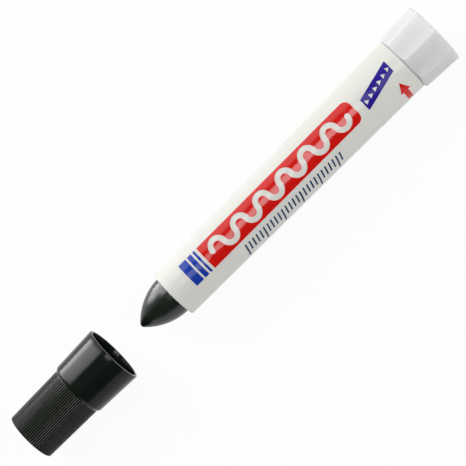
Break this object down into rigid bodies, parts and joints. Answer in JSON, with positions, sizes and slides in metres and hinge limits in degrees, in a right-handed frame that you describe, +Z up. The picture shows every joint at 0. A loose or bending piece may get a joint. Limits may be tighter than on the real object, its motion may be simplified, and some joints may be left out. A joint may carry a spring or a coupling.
{
  "type": "industrial paint marker",
  "caption": "Twist-feed paint marker: a tapered barrel holds a bullet-shaped paint stick, an octagonal knob turns the feed screw, and a ribbed push-on cap lies taken off in line.",
  "frame": {"origin": "on the surface that the marker lies on, below the middle of its length with the cap off", "axes": "+X along the marker's axis from the cap to the knob, +Y across, +Z up"},
  "size_m": [0.1834, 0.0208, 0.0209],
  "materials": {
    "barrel_white": "glossy moulded plastic",
    "inner_plastic": "plain moulded plastic",
    "knob_natural": "satin translucent moulded plastic",
    "paint_black": "waxy solid paint",
    "cap_black": "satin moulded plastic",
    "ink_red": "glossy print",
    "ink_blue": "glossy print",
    "ink_navy": "glossy print",
    "ink_violet": "glossy print"
  },
  "bodies": {
    "barrel": {"barrel": "barrel_white", "end_bush": "inner_plastic", "print_red": "ink_red", "print_blue": "ink_blue", "print_navy": "ink_navy", "print_violet": "ink_violet"},
    "knob": {"knob": "knob_natural", "feed_screw": "inner_plastic"},
    "stick": {"carrier": "inner_plastic", "paint_stick": "paint_black"},
    "cap": {"cap": "cap_black"}
  },
  "joints": [
    {"name": "knob_turn", "type": "hinge", "parent": "barrel", "child": "knob", "pos_m": [0.0825, 0, 0.01045], "axis": [-1, 0, 0], "range_deg": [-720, 240]},
    {"name": "stick_feed", "type": "slide", "parent": "barrel", "child": "stick", "axis": [-1, 0, 0], "range_m": [-0.015, 0.005]},
    {"name": "cap_slide", "type": "slide", "parent": "barrel", "child": "cap", "axis": [1, 0, 0], "range_m": [0, 0.04255]}
  ],
  "couplings": [
    {"joint": "stick_feed", "follows": "knob_turn", "m_per_rad": 0.0011937}
  ]
}
